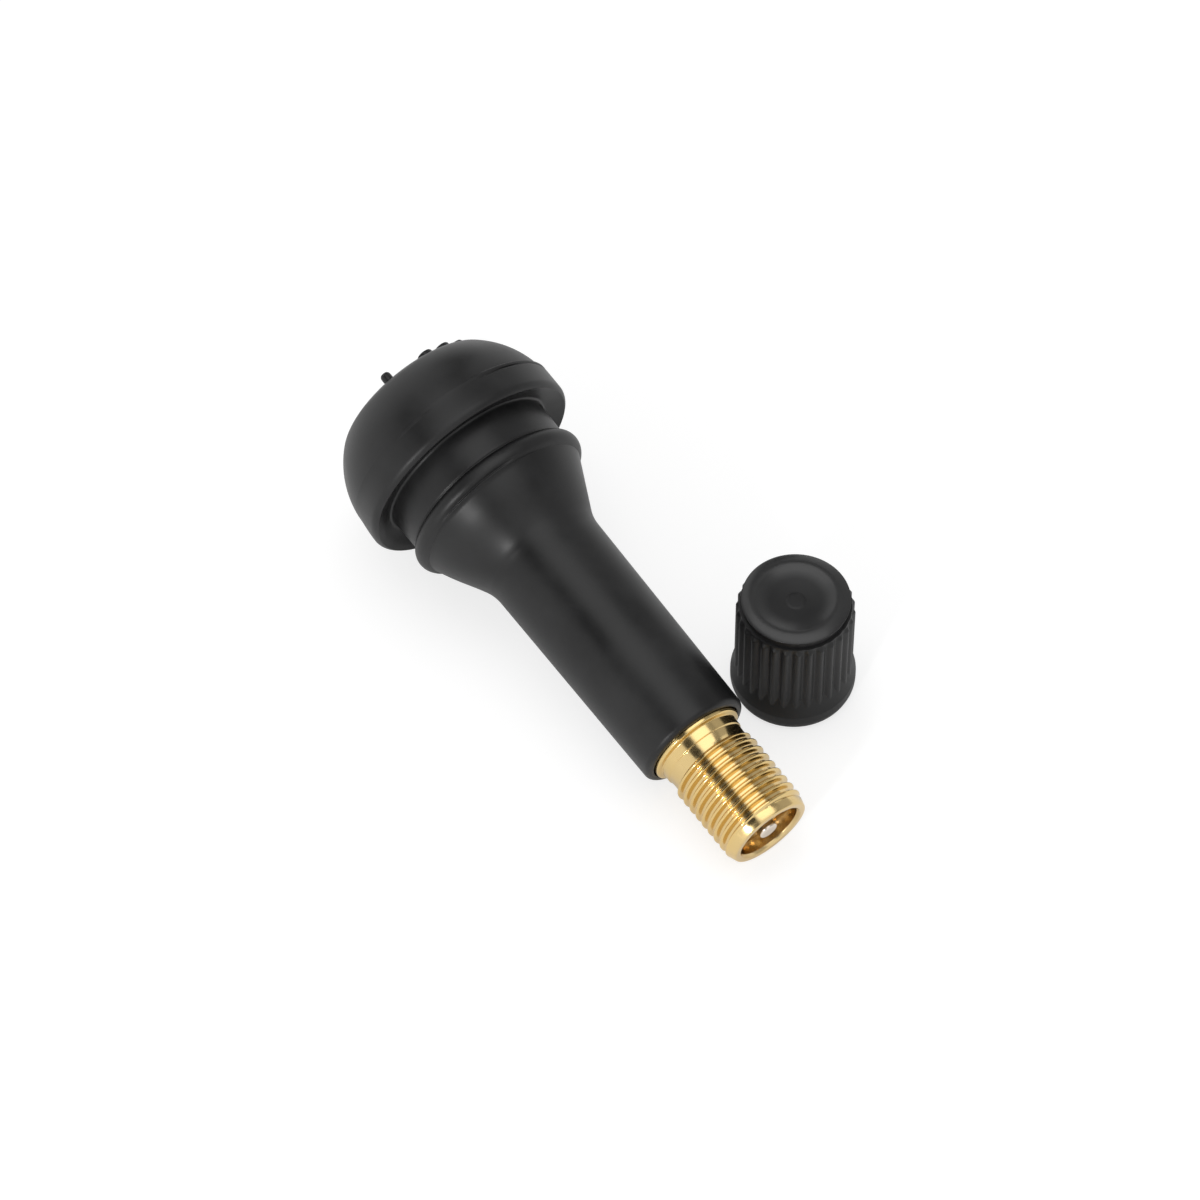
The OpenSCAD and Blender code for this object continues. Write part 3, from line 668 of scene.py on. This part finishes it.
# %% The stem with both threads cut
def stem_grid():
    """The outline around the axis, with the outer thread cut in and the core's thread standing inwards."""
    turn = around(BRASS_SIDES)
    radius, along = stem_outline[:, :1], stem_outline[:, 1:]
    outer = (radius > TIP_R - NEAR) & (along >= THREAD_START)
    inner = np.abs(radius - CORE_THREAD_R) < 1e-6
    cut = thread_wave(along, turn, OUTER_PITCH, THREAD_START - RUN_IN, THREAD_END + RUN_OUT, OUTER_FADE)
    rise = thread_wave(along, turn, CORE_PITCH, core_thread_start, core_thread_end, INNER_FADE)
    return on_valve(radius - outer * THREAD_DEPTH * cut - inner * CORE_THREAD_DEPTH * rise, along, turn)


make_piece(
    "brass_tube", [shell(stem_grid(), loop=True)],
    "valve", ["brass_stem"], turned_brass, crisp=50)

# %% [markdown]
# ## The valve core
# The core screws into the stem as one unit. Its plug has a fine thread and two tangs that a slotted key
# turns, and the plug swivels on the barrel below it, so the seal is not twisted. The pin runs through
# everything: a head in the mouth, a collar that the spring pushes, and a riveted foot. The barrel, the
# gasket, the cup and its seal are plain turned or moulded rings that sit out of sight, so their solids
# are already right and only get a finish.

# %% The plug with its thread and tangs
PLUG_R, SKIRT_R, CRIMP_R, CAVITY_R, PIN_WAY_R = 2.6, 2.4, 1.58, 1.98, 1.2
TANG_W, TANG_GAP = 3, 2.2
TANG_STEPS = np.array([(-0.1, 1), (1.5, 1), (1.64, 0.95), (1.7, 0.86)])
PLUG_SIDES, PLUG_FADE, TANG_BENDS = 96, 0.3, 12
bridge, skirt, plug_end = (VALVE_LEN - depth for depth in (3.0, 6.5, 7.6))
cavity_top, cavity_end = (VALVE_LEN - depth for depth in (5.84, 7.2))

plug_outline = without_doubles(np.concatenate([
    softened([(CRIMP_R, plug_end, 0), (SKIRT_R, plug_end, 0.15), (SKIRT_R, skirt, 0.05), (PLUG_R, skirt, 0)]),
    run((PLUG_R, skirt), (PLUG_R, bridge), 70),
    softened([(PLUG_R, bridge, 0.1), (PIN_WAY_R, bridge, 0.1), (PIN_WAY_R, cavity_top, 0)]),
    np.array([(CAVITY_R, cavity_top), (CAVITY_R, cavity_end), (CRIMP_R, cavity_end)]),
]))


def plug_grid():
    """The plug's outline around the axis, with its thread in step with the thread of the stem."""
    turn = around(PLUG_SIDES)
    radius, along = plug_outline[:, :1], plug_outline[:, 1:]
    cut = CORE_THREAD_DEPTH * thread_wave(along, turn, CORE_PITCH, skirt, bridge, PLUG_FADE)
    return on_valve(radius - (radius > PLUG_R - NEAR) * cut, along, turn)


def tang_shell(way):
    """A block between a flat inner face and the plug's round; its steps are heights and shares of width."""
    reach = math.asin(TANG_W / 2 / PLUG_R)
    bend = np.linspace(-reach, reach, TANG_BENDS)
    sideways = np.concatenate([PLUG_R * np.sin(bend)[::-1], [-TANG_W / 2, TANG_W / 2]])
    outwards = np.concatenate([PLUG_R * np.cos(bend), [TANG_GAP / 2] * 2])
    level, shrink = bridge + TANG_STEPS[:, :1], TANG_STEPS[:, 1:]
    middle = (PLUG_R + TANG_GAP / 2) / 2
    sideways = sideways * shrink
    outwards = middle + (outwards - middle) * shrink
    turn = np.arctan2(outwards, sideways) + (0 if way > 0 else TURN / 2)
    return shell(on_valve(np.hypot(sideways, outwards), level, turn))


make_piece(
    "plug_with_tangs", [shell(plug_grid(), loop=True), tang_shell(1), tang_shell(-1)],
    "plug", ["core_plug"], core_brass, crisp=50)

# %% The pin
PIN_R, HEAD_R, PIN_COLLAR_R, RIVET_R, POLE_R, PIN_SIDES = 0.5, 0.85, 1, 0.9, 0.05, 48
pin_tip, head_foot, collar_top, collar_foot, rivet_top, pin_foot = (
    VALVE_LEN - depth for depth in (0.15, 0.75, 5.92, 6.42, 14.39, 14.84))

pin_outline = softened([
    (POLE_R, pin_foot, 0), (RIVET_R, pin_foot, 0.3), (RIVET_R, rivet_top, 0.05), (PIN_R, rivet_top, 0.02),
    (PIN_R, collar_foot, 0.02), (PIN_COLLAR_R, collar_foot, 0.08), (PIN_COLLAR_R, collar_top, 0.08),
    (PIN_R, collar_top, 0.02), (PIN_R, head_foot, 0.05), (HEAD_R, head_foot, 0.06),
    (HEAD_R, pin_tip, 0.22), (POLE_R, pin_tip, 0)])
make_piece(
    "pin_with_head", [shell(on_valve(pin_outline[:, :1], pin_outline[:, 1:], around(PIN_SIDES)))],
    "pin", ["core_pin"], bright_steel, crisp=50)

# %% The spring
WIRE_R, WIRE_SIDES, COIL_R, COIL_TURNS, COIL_STEPS, COIL_CLOSE = 0.13, 10, 0.85, 7, 40, 0.55
spring_floor, spring_top = (VALVE_LEN - depth for depth in (12.56, 6.46))


def spring_grid():
    """A ring of wire carried along a helix whose rise slows at both ends, where the turns close up."""
    share = np.linspace(0, 1, COIL_TURNS * COIL_STEPS + 1)[:, None]
    rise = share - COIL_CLOSE * np.sin(TURN * share) / TURN
    middle = spring_floor + WIRE_R + rise * (spring_top - spring_floor - 2 * WIRE_R)
    bend = -around(WIRE_SIDES)
    return on_valve(COIL_R + WIRE_R * np.cos(bend), middle + WIRE_R * np.sin(bend), TURN * COIL_TURNS * share)


spring = make_piece(
    "spring_coil", [shell(spring_grid())], "core", ["core_spring"], spring_steel)
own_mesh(spring)

# %% Finishes for the rings that sit out of sight
for node, finish in {
    "core_barrel": core_brass, "pin_cup": core_brass, "core_gasket": red_seal, "cup_seal": black_seal,
}.items():
    frame["nodes"][node].data.materials.clear()
    frame["nodes"][node].data.materials.append(finish)
    print(node, "wears", finish.name)

# %% [markdown]
# ## The dust cap
# The cap is moulded with fine soft ribs for grip, a plain flared band at its open end, a groove under
# its rim and a dished top with the mark of the moulding gate. Ribs could be copied bars, but then
# they would only touch the wall. Here the wall's radius is a function of the angle: the larger of the
# plain outline and the ribs, so that the ribs sink into the flare as they do on the real cap.

# %% Sizes of the cap
RIB_COUNT, RIB_STEPS, RIB_R, RIB_FOOT_R, RIB_TOP, RIB_RUN_OUT = 30, 12, 0.3, 4.55, 10.45, 0.6
CAP_FOOT_R, CAP_FOOT_H, CAP_BASE_R, CAP_BASE_H, CAP_SLOPE_H = 4.93, 0.6, 5.15, 1.5, 2
RIM_GROOVE_W, RIM_GROOVE_R, RIM_SLOPE_H, RIM_EDGE_H, RIM_R = 0.5, 4.33, 0.2, 0.05, 4.45
RIM_CREST_R, RIM_CROWN, INNER_CROWN, DISH_R, GATE_R, GATE_H = 3.5, 2, 1.2, 3.13, 0.8, 0.05
RIM_GROOVE_DROP, CROWN_EASE, GATE_SLOPE = 0.02, 3, 0.15
CAP_BORE_R, CAP_BORE_LEN, BORE_CORNER, LEAD_IN, LEAD_IN_R = 3.95, 9, 0.5, 0.8, 4.2
CAP_THREAD_DEPTH, CAP_THREAD_GAP, CAP_THREAD_FADE = 0.3, 0.6, 0.6
RIB_FALL, RIB_FULLNESS = 0.85, 0.8

bore_top = (CAP_BORE_R, CAP_BORE_LEN - BORE_CORNER)
flare_start = (CAP_BASE_R - 0.03, CAP_BASE_H + 0.1)
rib_foot = CAP_BASE_H + CAP_SLOPE_H
rim_foot = RIB_TOP + RIM_GROOVE_W
rim_edge = rim_foot + RIM_SLOPE_H + RIM_EDGE_H
crown_first = math.degrees(math.acos((RIM_R - RIM_CREST_R) / RIM_CROWN))
crown_last = math.degrees(math.acos((DISH_R - RIM_CREST_R) / INNER_CROWN))
crown_mid = np.array([RIM_CREST_R, rim_edge - RIM_CROWN * math.sin(math.radians(crown_first))])
inner_mid = crown_mid + [0, RIM_CROWN - INNER_CROWN]
ball_r = DISH_R * INNER_CROWN / (RIM_CREST_R - DISH_R)
ball_mid = inner_mid * [0, 1] + [0, (INNER_CROWN + ball_r) * math.sin(math.radians(crown_last))]
gate_angle = -math.degrees(math.acos(GATE_R / ball_r))
gate_foot = arc(ball_mid, ball_r, gate_angle, gate_angle, 1)[0]
print("the cap is", round(crown_mid[1] + RIM_CROWN, 2), "mm high")

# %% Outline of the cap, from the end of its bore, down, out and over the top
cap_inside = np.concatenate([
    softened([(POLE_R, CAP_BORE_LEN, 0), (CAP_BORE_R, CAP_BORE_LEN, 0.3), (*bore_top, 0)]),
    run(bore_top, (CAP_BORE_R, LEAD_IN), 80),
    softened([(CAP_BORE_R, LEAD_IN, 0.05), (LEAD_IN_R, LEAD_IN, 0.05), (LEAD_IN_R, 0, 0.08)])])
cap_wall = np.concatenate([
    softened([(LEAD_IN_R, 0, 0.08), (CAP_FOOT_R, 0, 0.08), (CAP_BASE_R, CAP_FOOT_H, 0.25),
              (CAP_BASE_R, CAP_BASE_H, 0.2), (*flare_start, 0)]),
    run(flare_start, (RIB_FOOT_R, rib_foot), 24),
    run((RIB_FOOT_R, rib_foot), (RIB_FOOT_R, RIB_TOP - RIB_RUN_OUT), 6),
    run((RIB_FOOT_R, RIB_TOP - RIB_RUN_OUT), (RIB_FOOT_R, RIB_TOP), 12),
    np.array([(RIB_FOOT_R, RIB_TOP)])])
cap_top = np.concatenate([
    softened([(RIM_GROOVE_R, RIB_TOP + RIM_GROOVE_DROP, 0), (RIM_GROOVE_R, rim_foot, 0.1),
              (RIM_R, rim_foot + RIM_SLOPE_H, 0.04), (RIM_R, rim_edge, 0.04),
              (*arc(crown_mid, RIM_CROWN, crown_first + CROWN_EASE, 0, 1)[0], 0)]),
    arc(crown_mid, RIM_CROWN, crown_first + CROWN_EASE + 1, 90, 14),
    arc(inner_mid, INNER_CROWN, 90, crown_last, 12),
    arc(ball_mid, ball_r, crown_last - 180, gate_angle, 20),
    softened([(*gate_foot, 0.1), (GATE_R - GATE_SLOPE, gate_foot[1] + GATE_H, 0.1),
              (POLE_R, gate_foot[1] + GATE_H, 0)])])
cap_outline = without_doubles(np.concatenate([cap_inside, cap_wall, cap_top]))
print("the cap's outline has", len(cap_outline), "points")


# %% The cap with its ribs and its thread
def cap_grid():
    """The outline around the cap's axis: ribs where the wall lies inside them, and a thread in the bore."""
    turn = around(RIB_COUNT * RIB_STEPS)
    radius, height = cap_outline[:, :1], cap_outline[:, 1:]
    on_wall = (radius > RIB_FOOT_R - NEAR) & (height > CAP_BASE_H) & (height <= RIB_TOP)
    lowered = RIB_FALL * smooth((height - RIB_TOP + RIB_RUN_OUT) / RIB_RUN_OUT)
    rib = RIB_FOOT_R + RIB_R * (1 - lowered) * (0.5 + 0.5 * np.cos(RIB_COUNT * turn)) ** RIB_FULLNESS
    in_bore = np.abs(radius - CAP_BORE_R) < 1e-6
    thread_top = CAP_BORE_LEN - CAP_THREAD_GAP
    ridge = thread_wave(height, turn, OUTER_PITCH, LEAD_IN, thread_top, CAP_THREAD_FADE)
    wall = np.where(on_wall, np.maximum(radius, rib), radius)
    return on_cap(wall - in_bore * CAP_THREAD_DEPTH * ridge, height, turn)


make_piece(
    "ribbed_cap", [shell(cap_grid())], "valve", ["valve_cap"], black_plastic, crisp=50)

# %% [markdown]
# ## The table and the light
# The photograph has no visible table: everything around the valve is white. So the floor is a pale
# diffuse plane that also gives off a little light towards the camera, which lifts it to white and still
# keeps a faint shade where the rubber meets it. The world is white too, and gives most of the light.

# %% The floor
FLOOR_HALF, FLOOR_DROP = 1.5, 0.02
PAINT_SEEN, PAINT_OTHER, GLOW_SEEN, GLOW_OTHER = (0.38,) * 3, (0.85,) * 3, (0.7,) * 3, (0.14,) * 3


def make_floor():
    """A wide square just under the pieces, nearly white, with an added glow for the camera."""
    corners = np.array([(-1, -1), (1, -1), (1, 1), (-1, 1)]) * FLOOR_HALF
    mesh = bpy.data.meshes.new("floor")
    mesh.from_pydata([(x, y, -FLOOR_DROP * MM) for x, y in corners], [], [(0, 1, 2, 3)])
    floor = bpy.data.objects.new("floor", mesh)
    bpy.context.scene.collection.objects.link(floor)
    return floor


def background_rays(tree):
    """1 for rays from the camera and for rays that metal or glass sends on, 0 for all others."""
    path = tree.nodes.new("ShaderNodeLightPath").outputs
    shiny = add_node(tree, "ShaderNodeMath", {0: path["Is Glossy Ray"], 1: path["Is Transmission Ray"]},
                     operation="MAXIMUM")
    seen = add_node(tree, "ShaderNodeMath", {0: path["Is Camera Ray"], 1: shiny.outputs[0]},
                    operation="MAXIMUM")
    return seen.outputs[0]


def floor_finish():
    """White diffuse paint with a glow that only the background rays see, most of it for the camera."""
    material = bpy.data.materials.new("white_table")
    material.use_nodes = True
    tree = material.node_tree
    tree.nodes.clear()
    camera = tree.nodes.new("ShaderNodeLightPath").outputs["Is Camera Ray"]
    tone = mixed(tree, camera, PAINT_OTHER, PAINT_SEEN)
    lift = mixed(tree, camera, GLOW_OTHER, GLOW_SEEN)
    paint = add_node(tree, "ShaderNodeBsdfDiffuse", {"Color": tone})
    glow = add_node(tree, "ShaderNodeEmission", {"Color": lift, "Strength": background_rays(tree)})
    both = add_node(tree, "ShaderNodeAddShader", {0: paint.outputs[0], 1: glow.outputs[0]})
    add_node(tree, "ShaderNodeOutputMaterial", {"Surface": both.outputs[0]})
    return material


floor = make_floor()
floor.data.materials.append(floor_finish())
print("floor:", 2 * FLOOR_HALF, "m across")

# %% The surroundings
WORLD_LIGHT = 0.7


def make_surroundings():
    """White for the background rays, and a plain even light for everything else."""
    world = bpy.data.worlds.new("studio")
    world.use_nodes = True
    tree = world.node_tree
    tree.nodes.clear()
    seen = background_rays(tree)
    level = add_node(tree, "ShaderNodeMapRange", {"Value": seen, "To Min": WORLD_LIGHT, "To Max": 1.0})
    light = add_node(tree, "ShaderNodeBackground", {
        "Color": (1, 1, 1, 1), "Strength": level.outputs["Result"]})
    add_node(tree, "ShaderNodeOutputWorld", {"Surface": light.outputs[0]})
    return world


bpy.context.scene.world = make_surroundings()
bpy.context.scene.view_settings.view_transform = "Standard"
print("surroundings ready")

# %% [markdown]
# Two lamps are left to add. A wide soft one hangs over the valve and lights it from above. Reflections
# don't see it, because a card further on stands for it there. A small one stands in front, beside the
# camera, and makes the bright spots on the taper.

# %% Soft lamps
def aim(location, target):
    """A turn that points the local -Z axis from a location to a target."""
    back = np.array(location, float) - np.array(target, float)
    back = back / np.linalg.norm(back)
    right = np.cross([0, 0, 1], back)
    right = right / np.linalg.norm(right)
    rows = np.stack([right, np.cross(back, right), back], axis=1)
    return Matrix.Translation(location) @ Matrix(rows.tolist()).to_4x4()


def direction(turn, rise):
    """Unit vector for a turn from the front towards +X, and a rise above the floor, in degrees."""
    turn, rise = math.radians(turn), math.radians(rise)
    return np.array([math.sin(turn) * math.cos(rise), -math.cos(turn) * math.cos(rise), math.sin(rise)])


def add_lamp(name, location, size, watts):
    """A soft lamp of some width and length that faces the middle of the table."""
    lamp = bpy.data.lights.new(name, "AREA")
    lamp.shape = "RECTANGLE"
    lamp.size, lamp.size_y = size
    lamp.energy = watts
    holder = bpy.data.objects.new(name, lamp)
    holder.matrix_world = aim(location, (0, 0, 0))
    bpy.context.scene.collection.objects.link(holder)
    return holder


overhead = add_lamp("overhead", location=0.6 * direction(-95, 80), size=(0.46, 0.28), watts=0.64)
overhead.visible_glossy = False
add_lamp("front spot", location=0.5 * direction(25.5, 25.5), size=(0.05, 0.05), watts=0.7)
print("lamps ready")

# %% [markdown]
# Polished brass shows whatever surrounds it. In the photograph a bright panel hangs overhead and draws
# the pale streak along the neck and the crescent in the cap's dish. A dark stripe lies in front of it,
# and the back is greyer, and nearly black far behind the bulb. So a few cards stand around the valve's
# axis. They are curved sheets that only reflections see: they give no shade, and the camera looks
# through them. A picture of a studio could do the same, but cards keep every edge a number.

# %% Cards for the reflections
CARD_AWAY, CARD_STEPS = 300, 24
CARDS = {
    "panel card": ((66, 110), (-145, 150), 1.75),
    "panel end card": ((77, 110), (-210, -145), 1.75),
    "panel side card": ((66, 77), (-330, -145), 0.12),
    "stripe card": ((115, 141), (-500, 500), 0.06),
    "upper back card": ((48, 66), (-150, 500), 0.35),
    "upper far card": ((48, 66), (-420, -150), 0.15),
    "lower back card": ((8, 48), (-150, 500), 0.5),
    "far card": ((0, 48), (-700, -300), 0.03),
}


def add_card(name, turns, along, level):
    """Part of a tube around the valve's axis, between two turns and two lengths, of an even grey."""
    turn = np.radians(np.linspace(*turns, CARD_STEPS))[None, :]
    grid = on_valve(CARD_AWAY, np.array(along)[:, None], turn)
    ids = np.arange(2 * CARD_STEPS).reshape(2, CARD_STEPS)
    faces = np.stack([ids[0, :-1], ids[0, 1:], ids[1, 1:], ids[1, :-1]], axis=1)
    mesh = bpy.data.meshes.new(name)
    mesh.from_pydata(grid.reshape(-1, 3).tolist(), [], faces.tolist())
    material = bpy.data.materials.new(name)
    material.use_nodes = True
    shader = material.node_tree.nodes["Principled BSDF"]
    shader.inputs["Base Color"].default_value = (0, 0, 0, 1)
    shader.inputs["Specular IOR Level"].default_value = 0
    shader.inputs["Emission Color"].default_value = (level, level, level, 1)
    shader.inputs["Emission Strength"].default_value = 1
    mesh.materials.append(material)
    card = bpy.data.objects.new(name, mesh)
    bpy.context.scene.collection.objects.link(card)
    card.visible_camera = card.visible_diffuse = card.visible_shadow = False
    card.visible_transmission = card.visible_volume_scatter = False


for name, card in CARDS.items():
    add_card(name, *card)
print("cards:", len(CARDS))

# %% [markdown]
# ## The camera
# The photograph was taken from about two arm's lengths, looking well down on the valve from beyond its
# brass end. Its place was found by laying the outlines of the bulb, the neck, the thread and the cap
# over the photograph. A long lens keeps the far bulb and the near tip at nearly the same scale.

# %% The camera
CAMERA_TURN, CAMERA_RISE, CAMERA_AWAY = 52.70, 54.93, 510.7
AIM_OFFSET = np.array([22.927, 1.911, -4.788])
PIXELS_PER_MM = 12.25
IMAGE_SIDE = 1200
SENSOR = 36

aim_point = flat_middle + MM * AIM_OFFSET
camera_data = bpy.data.cameras.new("camera")
camera_data.sensor_width = SENSOR
camera_data.lens = SENSOR * PIXELS_PER_MM * CAMERA_AWAY / IMAGE_SIDE
camera = bpy.data.objects.new("camera", camera_data)
camera.matrix_world = aim(aim_point + MM * CAMERA_AWAY * direction(CAMERA_TURN, CAMERA_RISE), aim_point)
bpy.context.scene.collection.objects.link(camera)
bpy.context.scene.camera = camera
print("lens of", round(camera_data.lens, 1), "mm")
